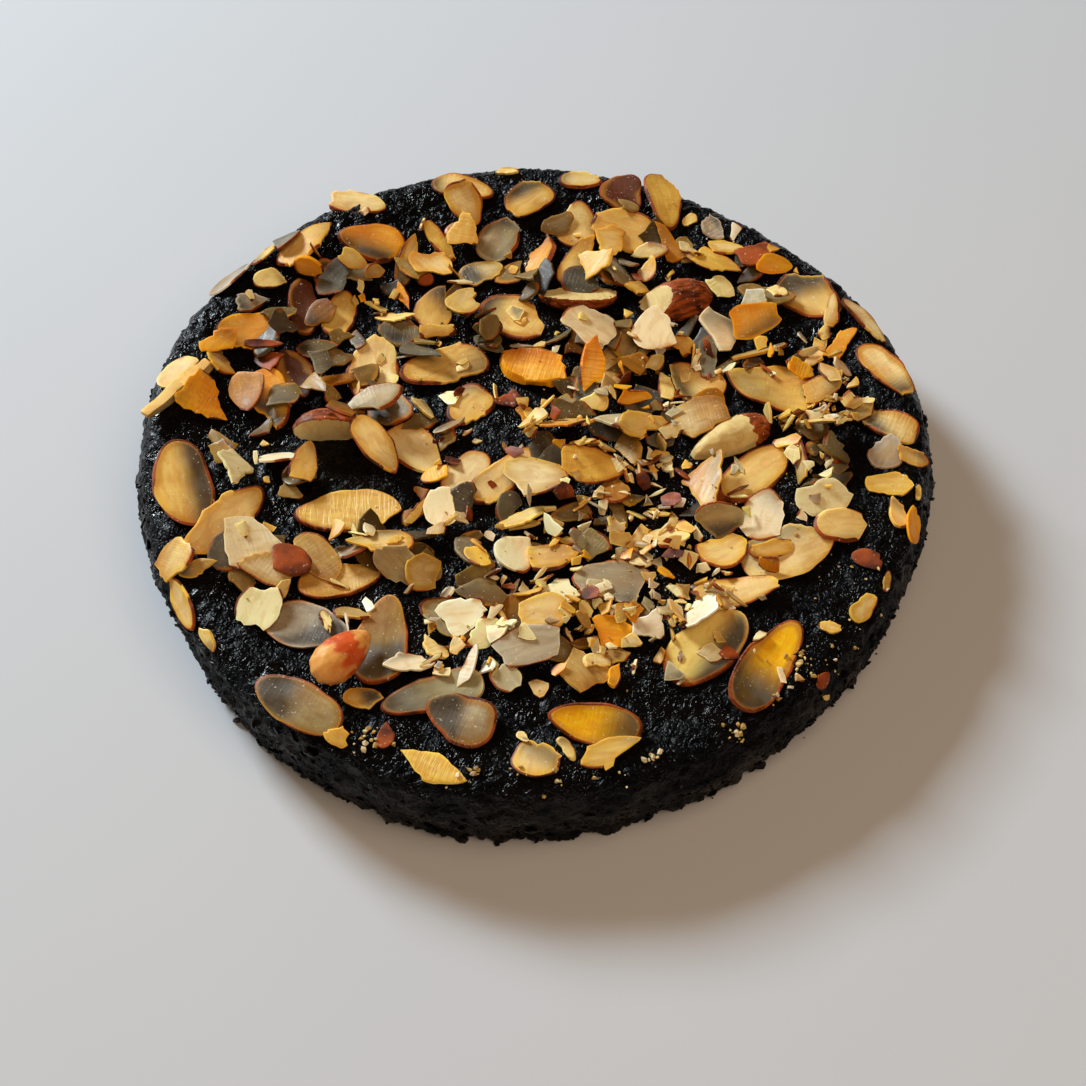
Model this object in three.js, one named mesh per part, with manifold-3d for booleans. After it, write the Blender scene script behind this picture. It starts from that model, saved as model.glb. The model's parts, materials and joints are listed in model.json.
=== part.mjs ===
// A round, dark chocolate almond cake, 180 mm across, baked in a plain seven-inch tin and topped with
// flaked almonds. The group holds one closed solid for the cake and one for each almond piece that is
// as large as a berry: whole and broken slices, slivers cut lengthwise, and pieces of thick kernel.
// The smaller chips, crumbs and skins are left to the finish.
//
// Millimetres, +Z up. The origin is the middle of the flat underside, and +Y is the back of the cake.
// Each almond piece is laid on what is already below it: first its tilt is found, as the plane that a
// stiff plate comes to rest on, and then it is lifted until it is clear of everything by GAP.

import * as THREE from "three";
import { mergeVertices } from "three/addons/utils/BufferGeometryUtils.js";
import Module from "manifold-3d";

const wasm = await Module();
wasm.setup();

// ---------------------------------------------------------------- driving dimensions

const CAKE_RADIUS = 90.5; // widest, two thirds of the way up the side
const BASE_RADIUS = 86.5; // the flat underside meets the side here
const DISH_HEIGHT = 20.4; // the sunken middle of the top
const LIP_HEIGHT = 25; // crest of the raised edge, on average
const LIP_RADIUS = 84.5; // where that crest runs
const LIP_SWING = 2.6; // how much higher the lip stands at the back left than at the front right
const LIP_TOWARDS = THREE.MathUtils.degToRad(125); // direction of its highest point
const CAKE_SEGMENTS = 72;

const SLICE_THICKNESS = 1.3;
const SLICE_SEGMENTS = 14;
const STEEPEST = 0.75; // the steepest slope a loose slice rests at
const GAP = 0.3; // clear space between touching pieces

// ---------------------------------------------------------------- finishes

const finish = (colour, roughness) =>
  new THREE.MeshStandardMaterial({ color: new THREE.Color(colour), roughness, metalness: 0 });

const CRUST = finish("#17120f", 0.55);
const TONES = {
  ivory: finish("#ead9b4", 0.5),
  golden: finish("#dcae5c", 0.48),
  orange: finish("#d98a2b", 0.45),
  grey: finish("#8d8674", 0.42),
  skin: finish("#7a3a20", 0.6),
};

// ---------------------------------------------------------------- the cake

// Half of the cake's section, from the middle of the underside round to the middle of the top.
const SECTION = [
  [0, 0],
  [BASE_RADIUS / 2, 0],
  [BASE_RADIUS, 0],
  [87.6, 1.6],
  [88.7, 6],
  [89.7, 11],
  [CAKE_RADIUS, 16],
  [90, 19.2],
  [89.3, 22],
  [87.6, 24.1],
  [LIP_RADIUS, LIP_HEIGHT],
  [80.4, 24.2],
  [75, 22.8],
  [66.5, 21.5],
  [55, DISH_HEIGHT + 0.1],
  [44, DISH_HEIGHT],
  [32, DISH_HEIGHT + 0.1],
  [20, DISH_HEIGHT + 0.3],
  [9, DISH_HEIGHT + 0.5],
  [0, DISH_HEIGHT + 0.6],
];

// Smooth rise from 0 to 1 between two values.
const rise = (from, to, x) => THREE.MathUtils.smoothstep(x, from, to);

// How the outline leaves a true circle, as a cake's does that spread unevenly: for each number of
// bulges round it, their share of the radius and the direction of the first.
const SPREAD = [
  [2, 0.01, 0.18],
  [3, 0.0143, 0.28],
  [4, 0.0075, 0.03],
  [5, 0.0044, 0.43],
  [11, 0.0022, -0.06],
  [23, 0.0014, 0],
];

function outline(angle) {
  return SPREAD.reduce((sum, [bulges, share, from]) => sum + share * Math.cos(bulges * (angle - from)), 1);
}

// Height to add to the top: the lip's swing round the edge, the front's fall, and low swells.
function topSwell(radius, angle) {
  const lip = rise(60, LIP_RADIUS - 2, radius) * LIP_SWING * Math.cos(angle - LIP_TOWARDS);
  const front = Math.max(0, Math.cos(angle + 1.3)); // 1 towards the front, a little to the right
  const fall = -2.2 * front * rise(66, CAKE_RADIUS, radius);
  const x = radius * Math.cos(angle);
  const y = radius * Math.sin(angle);
  const swell = 0.35 * Math.sin(x / 11 + 0.4) * Math.cos(y / 13) + 0.25 * Math.sin(y / 7 + x / 17);
  return lip + fall + swell;
}

function cakeGeometry(grow) {
  const profile = SECTION.map(([radius, height]) => new THREE.Vector2(radius, height));
  const geometry = new THREE.LatheGeometry(profile, CAKE_SEGMENTS);
  geometry.rotateX(Math.PI / 2);
  const at = geometry.getAttribute("position");
  for (let i = 0; i < at.count; i++) {
    const radius = Math.hypot(at.getX(i), at.getY(i));
    const angle = radius > 0 ? Math.atan2(at.getY(i), at.getX(i)) : 0;
    const height = at.getZ(i);
    const upper = rise(12, DISH_HEIGHT, height); // the underside and the low side keep their height
    const spread = radius > 0 ? (radius * outline(angle) + grow) / radius : 1;
    at.setXYZ(
      i,
      at.getX(i) * spread,
      at.getY(i) * spread,
      height > 0 ? height + upper * topSwell(radius, angle) + grow : -grow,
    );
  }
  return geometry;
}

// ---------------------------------------------------------------- almond pieces

// Turns a unit disc-like lathe into an almond's outline: a teardrop, cut off straight where it broke.
// Each break is [direction in degrees, distance from the middle]. bow lifts the two ends.
function shapeAlmond(geometry, { length, width, breaks = [], bow = 0.5, twist = 0.3 }) {
  const taper = 0.22; // how much narrower the pointed end is
  const at = geometry.getAttribute("position");
  for (let i = 0; i < at.count; i++) {
    const share = Math.hypot(at.getX(i), at.getY(i));
    const turn = Math.atan2(at.getY(i), at.getX(i));
    const tip = 1 + 0.07 * Math.max(0, Math.cos(turn)) ** 8;
    let u = (length / 2) * Math.cos(turn) * tip;
    let v = (width / 2) * Math.sin(turn) * (1 - taper * Math.cos(turn));
    let kept = 1;
    for (const [direction, distance] of breaks) {
      const towards = THREE.MathUtils.degToRad(direction);
      const reach = u * Math.cos(towards) + v * Math.sin(towards);
      const ragged = distance * (1 + 0.05 * Math.sin(5 * turn + direction));
      if (reach > ragged) kept = Math.min(kept, ragged / reach);
    }
    u *= kept * share;
    v *= kept * share;
    const lift = bow * (2 * u / length) ** 2 + twist * (4 * u * v) / (length * width);
    at.setXYZ(i, u, v, at.getZ(i) + lift);
  }
  return geometry;
}

const latheUp = (profile, segments) =>
  new THREE.LatheGeometry(profile.map(([r, z]) => new THREE.Vector2(r, z)), segments).rotateX(Math.PI / 2);

// A slice: a thin plate with one ring inside its edge, so that it can bow.
function slice(piece) {
  const half = (piece.thick ?? SLICE_THICKNESS) / 2;
  const plate = [[0, -half], [0.6, -half], [1, -half], [1, half], [0.6, half], [0, half]];
  return shapeAlmond(latheUp(plate, SLICE_SEGMENTS), piece);
}

// A piece of whole kernel, with a flat cut below and the rounded back above.
function kernel(piece) {
  const rounded = [0.28, 0.55, 0.8].map((share) => {
    const turn = (share * Math.PI) / 2;
    return [Math.cos(turn), piece.thick * Math.sin(turn)];
  });
  const dome = [[0, 0], [1, 0], ...rounded, [0, piece.thick]];
  return shapeAlmond(latheUp(dome, SLICE_SEGMENTS), { bow: 0, twist: 0, ...piece });
}

// The toppings, from the lowest in the heap to the highest. at is the place of a piece's middle, size
// its length and width, and turn the direction of its pointed end in degrees. lean, [about its length,
// about its width], stands a piece up by hand, and sunk then says how deep it stuck in the batter.
const TOPPINGS = [
  // back, from left to right
  { at: [-40.4, 62.3], size: [17.5, 11], turn: 176, tone: "orange" },
  { at: [-44.6, 73.5], size: [16.5, 8], turn: -12, tone: "ivory", lean: [6, 0], sunk: 1.6 },
  { at: [-56.4, 58.2], size: [18.5, 8], turn: 40, tone: "golden", bow: -0.8 },
  { at: [-56, 41.7], size: [16.5, 8], turn: -80, tone: "skin" },
  { at: [-67.8, 33.4], size: [18, 10], turn: 24, tone: "orange", bow: 1.0 },
  { at: [-47.4, 41.5], size: [15.5, 8.5], turn: 78, tone: "golden", breaks: [[95, 3.4]] },
  { at: [-31.6, 57], size: [15.5, 5], turn: 80, tone: "golden" },
  { at: [-23.7, 64], size: [14.5, 4.6], turn: -57, tone: "golden" },
  { at: [-9, 65.5], size: [14, 11], turn: 60, tone: "grey" },
  { at: [-18.5, 79.3], size: [17, 7.5], turn: -8, tone: "golden", bow: -0.6 },
  { at: [-17.5, 73.6], size: [13.5, 8.5], turn: -62, tone: "golden", breaks: [[180, 5.5]] },
  { at: [-2, 75.5], size: [15, 11], turn: 216, tone: "golden", breaks: [[0, 5.6], [90, 4.6]] },
  { at: [1.5, 60.6], size: [17.5, 9], turn: 83, tone: "orange", lean: [-34, 6], sunk: 2.5 },
  { at: [22, 77.8], size: [13, 10.5], turn: 178, tone: "skin", breaks: [[0, 5.4], [180, 5.2]] },
  { at: [10.9, 69.2], size: [13.4, 10.5], turn: 82, tone: "ivory" },
  { at: [10.7, 58.5], size: [16, 6.5], turn: 58, tone: "golden" },
  { at: [23.6, 66.2], size: [19, 12.5], turn: -18, tone: "golden", breaks: [[250, 5]] },
  { at: [32.7, 74], size: [18.5, 9.5], turn: -76, tone: "golden", bow: -1.1 },
  { at: [66.5, 45.7], size: [20, 12.5], turn: -42, tone: "golden", breaks: [[180, 7.2], [120, 5.4]] },
  { at: [79.6, 36.4], size: [15.5, 6.5], turn: -52, tone: "ivory", bow: -0.5 },
  // middle of the left side
  { at: [-56.4, 22], size: [15, 8.5], turn: -62, tone: "skin" },
  { at: [-38.3, 24.3], size: [20.5, 13.4], turn: 86, tone: "ivory" },
  { at: [-5, 41], size: [18, 13.5], turn: -28, tone: "ivory" },
  { at: [-25, 42], size: [15.5, 10], turn: 72, tone: "golden", breaks: [[150, 4]] },
  { at: [-21.6, 25], size: [22.5, 13], turn: 200, tone: "golden" },
  { at: [-14.5, 13.5], size: [15, 11.5], turn: 232, tone: "golden", breaks: [[180, 5], [75, 4.4]] },
  { at: [-82.2, 13.2], size: [25, 3.2], turn: 234, tone: "ivory", thick: 1.9, bow: 1.4 },
  { at: [-62.6, 15], size: [19.5, 10.5], turn: -66, tone: "orange", breaks: [[180, 7.6]] },
  { at: [-28, 1], size: [18.5, 11.5], turn: -52, tone: "ivory", breaks: [[180, 7.5]] },
  { at: [-47, 2.4], size: [17, 10.5], turn: 6, tone: "skin", kernel: 5, lean: [-82, 3], sunk: 0.5 },
  { at: [-36, -3.4], size: [18, 9.5], turn: -60, tone: "orange", lean: [-24, 4], sunk: 0.4 },
  { at: [-78.8, -13], size: [24, 13.5], turn: 104, tone: "golden", bow: -0.5 },
  { at: [-68.5, -22.4], size: [27, 9.5], turn: 54, tone: "golden", bow: 1.0 },
  { at: [-42, -17.6], size: [24.5, 12.5], turn: 184, tone: "golden" },
  // front left
  { at: [-48.8, -49], size: [19, 12], turn: -14, tone: "grey" },
  { at: [-42.6, -36.3], size: [20.5, 9], turn: 14, tone: "golden", bow: 0.9 },
  { at: [-32.6, -52.7], size: [24, 12.5], turn: 82, tone: "grey" },
  { at: [-40.4, -58.5], size: [16, 9.5], turn: 46, tone: "orange", kernel: 4.4, lean: [24, 4], sunk: 1 },
  { at: [-49.1, -69], size: [22.5, 10], turn: 151, tone: "grey", bow: -0.6 },
  { at: [-20.2, -65.4], size: [25, 9.5], turn: 198, tone: "grey", breaks: [[180, 10.6]] },
  { at: [-14, -72.3], size: [17, 11], turn: 158, tone: "grey", breaks: [[180, 6.2]] },
  { at: [-17.5, -46], size: [15.5, 10.5], turn: 160, tone: "grey" },
  { at: [-15.5, -7], size: [18, 10], turn: 56, tone: "ivory", breaks: [[180, 7], [0, 7.6]] },
  { at: [-7, -8.5], size: [22.5, 8.5], turn: 48, tone: "golden" },
  // middle and right
  { at: [11, 46.5], size: [19.5, 8], turn: 184, tone: "skin", kernel: 4.4, lean: [-158, 3], sunk: 1 },
  { at: [33.4, 44.8], size: [22.5, 11], turn: 200, tone: "skin", kernel: 6, cut: [-52, 4.5] },
  { at: [18.5, 26.5], size: [18, 8.5], turn: 64, tone: "ivory" },
  { at: [0, 24], size: [18, 14], turn: 160, tone: "orange", thick: 3.4, breaks: [[100, 5.4]] },
  { at: [39, 20], size: [17, 11.5], turn: 140, tone: "ivory", breaks: [[180, 6.6]] },
  { at: [57, 18], size: [23.5, 13], turn: 164, tone: "golden" },
  { at: [51, -6.5], size: [22, 11.5], turn: 46, tone: "golden" },
  { at: [46, 3.6], size: [21.5, 9.5], turn: 210, tone: "ivory", kernel: 5 },
  { at: [83.2, 21.3], size: [19.5, 8], turn: -54, tone: "golden", bow: -0.8 },
  { at: [83, 5.4], size: [15.5, 8.5], turn: 152, tone: "ivory", bow: -0.9, breaks: [[180, 6.8]] },
  // front right
  { at: [37.5, -53.6], size: [23.5, 13.5], turn: 44, tone: "ivory" },
  { at: [56.5, -28.8], size: [23.5, 13.5], turn: 24, tone: "ivory" },
  { at: [43.6, -40.2], size: [19.5, 8], turn: 8, tone: "golden", bow: 0.9 },
  { at: [49.6, -58.6], size: [28, 10.8], turn: 56, tone: "orange", lean: [18, 2], sunk: 1.5 },
  { at: [11, -73.6], size: [24.5, 10.5], turn: 176, tone: "orange", breaks: [[60, 3.6]], lean: [-24, -2],
    sunk: 1.4 },
];

// ---------------------------------------------------------------- laying the pieces down

const UP = new THREE.Vector3(0, 0, 1);
const ray = new THREE.Raycaster();

// Height of whatever is topmost at a place, or null past the edge of the cake.
function topAt(x, y, meshes) {
  ray.set(new THREE.Vector3(x, y, 100), UP.clone().negate());
  const hit = ray.intersectObjects(meshes, false)[0];
  return hit ? hit.point.z : null;
}

// Points about a millimetre apart over a geometry: its corners and places along its edges.
function pointsOn(geometry) {
  const g = geometry.toNonIndexed().getAttribute("position");
  const points = [];
  const a = new THREE.Vector3();
  const b = new THREE.Vector3();
  for (let i = 0; i < g.count; i++) {
    a.fromBufferAttribute(g, i);
    b.fromBufferAttribute(g, i % 3 === 2 ? i - 2 : i + 1);
    const steps = Math.max(1, Math.ceil(a.distanceTo(b) / 1.1));
    for (let s = 0; s < steps; s++) points.push(a.clone().lerp(b, s / steps));
  }
  return points;
}

// The least value of a hollow function between two limits, and where it is.
function lowest(f, from, to) {
  for (let i = 0; i < 26; i++) {
    const third = (to - from) / 3;
    if (f(from + third) < f(to - third)) to -= third;
    else from += third;
  }
  const at = (from + to) / 2;
  return [f(at), at];
}

// Slopes along and across a piece of the plane that it rests on: the lowest one at the piece's middle
// that stays above every point beneath.
function restingSlopes(points, turn, x, y, below) {
  const under = points.filter((p) => p.z < 0.5).map((p) => {
    const place = p.clone().applyAxisAngle(UP, turn);
    const top = topAt(x + place.x, y + place.y, below);
    return top === null ? null : [p.x, p.y, top - p.z];
  }).filter(Boolean);
  const height = (along, across) =>
    Math.max(...under.map(([u, v, need]) => need - along * u - across * v));
  const best = (along) => lowest((across) => height(along, across), -STEEPEST, STEEPEST);
  const along = lowest((slope) => best(slope)[0], -STEEPEST, STEEPEST)[1];
  return [along, best(along)[1]];
}

// How far a mesh must rise to clear the meshes below it, from its own points and from theirs.
function liftToClear(mesh, points, below) {
  mesh.updateMatrixWorld(true);
  let lift = -Infinity;
  for (const p of points) {
    const place = p.clone().applyMatrix4(mesh.matrixWorld);
    const top = topAt(place.x, place.y, below);
    if (top !== null) lift = Math.max(lift, top - place.z);
  }
  const reach = new THREE.Box3().setFromObject(mesh);
  const corner = new THREE.Vector3();
  for (const other of below) {
    const at = other.geometry.getAttribute("position");
    for (let i = 0; i < at.count; i++) {
      corner.fromBufferAttribute(at, i).applyMatrix4(other.matrixWorld);
      if (corner.x < reach.min.x || corner.x > reach.max.x) continue;
      if (corner.y < reach.min.y || corner.y > reach.max.y) continue;
      ray.set(new THREE.Vector3(corner.x, corner.y, -100), UP);
      const hit = ray.intersectObject(mesh, false)[0];
      if (hit) lift = Math.max(lift, corner.z - hit.point.z);
    }
  }
  return lift;
}

// Lays a piece on the heap. A piece that stands up keeps the lean it is given.
function lay(mesh, piece, below) {
  const turn = THREE.MathUtils.degToRad(piece.turn);
  const points = pointsOn(mesh.geometry);
  const [x, y] = piece.at;
  const heading = new THREE.Quaternion().setFromAxisAngle(UP, turn);
  if (piece.lean) {
    const [roll, pitch] = piece.lean.map(THREE.MathUtils.degToRad);
    mesh.quaternion.copy(heading).multiply(
      new THREE.Quaternion().setFromEuler(new THREE.Euler(roll, pitch, 0)),
    );
  } else {
    const [along, across] = restingSlopes(points, turn, x, y, below);
    const facing = new THREE.Vector3(-along, -across, 1).normalize().applyQuaternion(heading);
    mesh.quaternion.setFromUnitVectors(UP, facing).multiply(heading);
  }
  mesh.position.set(x, y, 0);
  const [cakeMesh, ...others] = below;
  const onCake = liftToClear(mesh, points, [cakeMesh]) - (piece.sunk ?? 0);
  mesh.position.z = Math.max(onCake, liftToClear(mesh, points, others)) + GAP;
  mesh.updateMatrixWorld(true);
}

// ---------------------------------------------------------------- cutting

function solidOf(mesh) {
  const g = mesh.geometry.clone().applyMatrix4(mesh.matrixWorld);
  g.deleteAttribute("normal");
  g.deleteAttribute("uv");
  const merged = mergeVertices(g, 1e-3);
  return new wasm.Manifold(
    new wasm.Mesh({
      numProp: 3,
      vertProperties: merged.getAttribute("position").array,
      triVerts: new Uint32Array(merged.index.array),
    }),
  );
}

function geometryOf(solid) {
  const made = solid.getMesh();
  const geometry = new THREE.BufferGeometry();
  geometry.setAttribute("position", new THREE.BufferAttribute(made.vertProperties, 3));
  geometry.setIndex(new THREE.BufferAttribute(made.triVerts, 1));
  return geometry;
}

// What is left of a mesh when others are cut out of it: the largest piece, in its own frame.
function cutBy(mesh, ...cutters) {
  let left = solidOf(mesh);
  for (const cutter of cutters) left = left.subtract(solidOf(cutter));
  const largest = left.decompose().sort((a, b) => b.volume() - a.volume())[0];
  mesh.geometry = geometryOf(largest).applyMatrix4(mesh.matrixWorld.clone().invert());
}

// A block that takes off one end of a kernel by a slanting cut, at [degrees from upright, distance].
function slantingBlock([degrees, distance]) {
  const size = 60;
  const block = new THREE.Mesh(new THREE.BoxGeometry(size, size, size));
  block.rotation.y = THREE.MathUtils.degToRad(degrees);
  block.position.set(distance + size / 2, 0, 0).applyEuler(block.rotation);
  block.updateMatrixWorld(true);
  return block;
}

// ---------------------------------------------------------------- the whole

const cake = new THREE.Group();

const body = new THREE.Mesh(cakeGeometry(0), CRUST);
body.name = "cake_body";
body.updateMatrixWorld(true);
cake.add(body);

const clearOfCake = new THREE.Mesh(cakeGeometry(GAP), CRUST);
clearOfCake.updateMatrixWorld(true);

const laid = [body];
TOPPINGS.forEach((piece, i) => {
  const form = { ...piece, length: piece.size[0], width: piece.size[1] };
  const geometry = piece.kernel ? kernel({ ...form, thick: piece.kernel }) : slice(form);
  const mesh = new THREE.Mesh(geometry, TONES[piece.tone]);
  const kind = piece.kernel ? "kernel" : piece.size[1] < 5.5 ? "sliver" : "slice";
  mesh.name = `almond_${kind}_${String(i + 1).padStart(2, "0")}`;
  if (piece.cut) {
    mesh.updateMatrixWorld(true);
    cutBy(mesh, slantingBlock(piece.cut));
  }
  lay(mesh, piece, laid);
  if (piece.sunk) cutBy(mesh, clearOfCake);
  laid.push(mesh);
  cake.add(mesh);
});

export default cake;
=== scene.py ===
import json
import math

import bpy
import numpy as np
from mathutils import Matrix, Vector, noise
from mathutils.bvhtree import BVHTree

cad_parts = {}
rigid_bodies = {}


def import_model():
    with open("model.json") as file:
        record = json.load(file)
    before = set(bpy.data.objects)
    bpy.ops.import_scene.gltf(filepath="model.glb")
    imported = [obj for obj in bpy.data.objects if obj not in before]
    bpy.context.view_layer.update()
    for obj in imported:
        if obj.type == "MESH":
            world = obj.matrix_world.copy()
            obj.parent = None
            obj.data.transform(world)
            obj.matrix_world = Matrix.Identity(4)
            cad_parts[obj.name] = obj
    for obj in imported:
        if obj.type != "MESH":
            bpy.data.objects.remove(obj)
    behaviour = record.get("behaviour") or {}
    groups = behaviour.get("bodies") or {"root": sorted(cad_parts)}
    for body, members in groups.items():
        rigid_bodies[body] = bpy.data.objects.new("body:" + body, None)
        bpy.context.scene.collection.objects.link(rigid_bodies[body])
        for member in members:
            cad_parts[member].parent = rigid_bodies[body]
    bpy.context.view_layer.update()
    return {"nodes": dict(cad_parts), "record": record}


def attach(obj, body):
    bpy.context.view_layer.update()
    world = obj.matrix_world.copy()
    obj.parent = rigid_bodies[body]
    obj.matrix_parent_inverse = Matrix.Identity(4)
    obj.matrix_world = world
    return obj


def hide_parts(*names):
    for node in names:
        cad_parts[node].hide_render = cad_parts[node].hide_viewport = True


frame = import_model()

# ------------------------------------------------------------------ the camera and the floor
# The cake is looked down on from the front, a little over halfway between level and overhead.
# It stands on a plain pale floor; a large soft lamp stands behind its left side.

MM = 0.001

CAMERA_PLACE = Vector((2.2, -256.1, 350.7)) * MM
CAMERA_AIM = Vector((2.2, -11.3, 0.0)) * MM
CAMERA_LENS = 59.67

FLOOR_SIZE = 3.0
FLOOR_TONES = (0.565, 0.600, 0.645, 1), (0.585, 0.620, 0.660, 1)

bpy.ops.object.camera_add(location=CAMERA_PLACE)
camera = bpy.context.object
camera.rotation_euler = (CAMERA_AIM - CAMERA_PLACE).to_track_quat("-Z", "Y").to_euler()
camera.data.lens = CAMERA_LENS
camera.data.clip_start = 10 * MM
bpy.context.scene.camera = camera


class Wire:
    """An output of a shader node. Arithmetic on wires adds the Math nodes that work it out."""

    def __init__(self, tree, socket=None):
        self.tree = tree
        self.socket = socket

    def node(self, kind, inputs=None, output=0, stops=None, **settings):
        """Adds a node with these settings and these values or wires on its inputs."""
        made = self.tree.nodes.new(kind)
        for name, value in settings.items():
            setattr(made, name, value)
        if stops:
            ramp = made.color_ramp
            while len(ramp.elements) < len(stops):
                ramp.elements.new(0.5)
            for element, (place, colour) in zip(ramp.elements, stops):
                element.position = place
                element.color = colour
        for name, value in (inputs or {}).items():
            if isinstance(value, Wire):
                self.tree.links.new(value.socket, made.inputs[name])
            else:
                made.inputs[name].default_value = value
        return Wire(self.tree, made.outputs[output])

    def math(self, operation, first, second):
        return self.node("ShaderNodeMath", {0: first, 1: second}, operation=operation)

    def __add__(self, other):
        return self.math("ADD", self, other)

    __radd__ = __add__

    def __sub__(self, other):
        return self.math("SUBTRACT", self, other)

    def __rsub__(self, other):
        return self.math("SUBTRACT", other, self)

    def __mul__(self, other):
        return self.math("MULTIPLY", self, other)

    def rise(self, low, high):
        """0 below low, 1 above high and smooth between, or the other way round if low is larger."""
        return self.node(
            "ShaderNodeMapRange",
            {"Value": self, "From Min": low, "From Max": high},
            interpolation_type="SMOOTHSTEP",
        )

    def mix(self, first, second, blend="MIX"):
        """first where this wire is 0 and second where it is 1."""
        return self.node(
            "ShaderNodeMix", {0: self, 6: first, 7: second}, 2, data_type="RGBA", blend_type=blend
        )

    def stretched(self, *scale):
        """These places, drawn together along X, Y and Z by these amounts."""
        return self.node("ShaderNodeMapping", {"Vector": self, "Scale": scale})

    def noise(self, scale=1.0, detail=2.0, distortion=0.0):
        """Cloudy noise over these places, from 0 to 1, with scale clouds in a metre."""
        settings = {"Vector": self, "Scale": scale, "Detail": detail, "Distortion": distortion}
        return self.node("ShaderNodeTexNoise", settings)

    def bump(self, strength, distance):
        """The normals of a surface on which this wire is the height."""
        settings = {"Height": self, "Strength": strength, "Distance": distance}
        return self.node("ShaderNodeBump", settings, "Normal")


def new_finish(name):
    """A material, the wire that its nodes start from, and its shader's inputs."""
    material = bpy.data.materials.new(name)
    material.use_nodes = True
    start = Wire(material.node_tree)
    return material, start, material.node_tree.nodes["Principled BSDF"].inputs


def feed(wire, target):
    wire.tree.links.new(wire.socket, target)


def only(piece):
    """Makes a piece the one that is selected and worked on."""
    bpy.ops.object.select_all(action="DESELECT")
    piece.select_set(True)
    bpy.context.view_layer.objects.active = piece


bpy.ops.mesh.primitive_plane_add(size=FLOOR_SIZE)
floor = bpy.context.object
floor.name = "floor"
floor_finish, start, shader = new_finish("floor_pale")
place = start.node("ShaderNodeTexCoord", output="Object")
feed(place.noise(9.0).mix(*FLOOR_TONES), shader["Base Color"])
shader["Roughness"].default_value = 0.8
floor.data.materials.append(floor_finish)


def soft_lamp(name, aim_from, size, power, colour):
    """A square area lamp that looks at the middle of the cake."""
    bpy.ops.object.light_add(type="AREA", location=aim_from)
    lamp = bpy.context.object
    lamp.name = name
    lamp.rotation_euler = (-Vector(aim_from)).to_track_quat("-Z", "Y").to_euler()
    lamp.data.size = size
    lamp.data.energy = power
    lamp.data.color = colour
    return lamp


soft_lamp("window", (-0.96, 0.96, 0.855), size=0.42, power=32.2, colour=(0.84, 0.94, 1.0))
overhead = soft_lamp("overhead", (0.22, -0.34, 0.92), size=0.8, power=5.2, colour=(1.0, 0.69, 0.45))
overhead.visible_glossy = False

world = bpy.data.worlds.new("room")
bpy.context.scene.world = world
world.use_nodes = True
room_light = world.node_tree.nodes["Background"].inputs
room_light["Color"].default_value = (1.0, 0.84, 0.66, 1)
room_light["Strength"].default_value = 0.06
bpy.context.scene.view_settings.view_transform = "Standard"

# ------------------------------------------------------------------ the crust
# The baked cake: near-black, its top finely crinkled and a little glossy, its side torn and crumbly
# where it came off the tin, with a ragged foot. Made from the solid by remeshing and relief.

CRUST_VOXEL = 0.715 * MM
SIDE_TOP = 23  # mm above the floor; loose crumbs cling to the side below this

# What the crust's relief is made of: how wide each of these is and how high it stands, in mm.
CRINKLE = 2.8, 0.62
FINE_CRINKLE = 1.3, 0.26
SWELL = 9, 0.45
LUMP = 3.4, 0.5
SMALL_LUMP = 1.5, 0.9
LAYER = 5.0, 1.0
PIT = 3.6, 2.0
FOOT_BULGE = 6.5, 1.2
FOOT_LUMP_HEIGHT = 0.8
SIDE_SUNK = 0.6  # mm that the side is drawn in, so that its lumps don't make the cake wider


def copy_of(node, name):
    """A copy of a solid with a mesh of its own, its loose triangles merged, and selected alone."""
    piece = frame["nodes"][node].copy()
    piece.data = piece.data.copy()
    piece.name = name
    piece.parent = None
    for key in list(piece.keys()):
        del piece[key]
    bpy.context.scene.collection.objects.link(piece)
    only(piece)
    bpy.ops.object.mode_set(mode="EDIT")
    bpy.ops.mesh.select_all(action="SELECT")
    bpy.ops.mesh.remove_doubles(threshold=1e-6)
    bpy.ops.object.mode_set(mode="OBJECT")
    return piece


def apply_modifier(piece, kind, **settings):
    modifier = piece.modifiers.new(kind.lower(), kind)
    for name, value in settings.items():
        setattr(modifier, name, value)
    only(piece)
    bpy.ops.object.modifier_apply(modifier=modifier.name)


def arrays_of(piece):
    """The places and normals of a piece's vertices."""
    count = len(piece.data.vertices)
    places = np.empty(count * 3, np.float32)
    normals = np.empty(count * 3, np.float32)
    piece.data.vertices.foreach_get("co", places)
    piece.data.vertices.foreach_get("normal", normals)
    return places.reshape(-1, 3).astype(float), normals.reshape(-1, 3).astype(float)


def set_places(piece, places):
    piece.data.vertices.foreach_set("co", np.asarray(places, np.float32).ravel())
    piece.data.update()


def rise(low, high, x):
    share = np.clip((np.asarray(x, float) - low) / (high - low), 0, 1)
    return share * share * (3 - 2 * share)


def noise_at(points, size, offset=0.0):
    """Smooth noise, from -1 to 1, with features of about this size in mm, at many points."""
    shift = Vector((offset, offset * 1.7, offset * 0.6))
    return np.array([noise.noise(Vector(p) / (size * MM) + shift) for p in points])


def lumps_at(points, size, offset=0.0):
    """1 at the middle of rounded lumps of this size in mm, falling to 0 between them."""
    shift = Vector((offset, offset * 1.7, offset * 0.6))
    near = [noise.voronoi(Vector(p) / (size * MM) + shift, exponent=2.0)[0][0] for p in points]
    return 1 - np.clip(np.array(near), 0, 1) ** 2


crust = copy_of("cake_body", "crust")
apply_modifier(crust, "REMESH", mode="VOXEL", voxel_size=CRUST_VOXEL)
apply_modifier(crust, "SMOOTH", factor=0.5, iterations=12)

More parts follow.
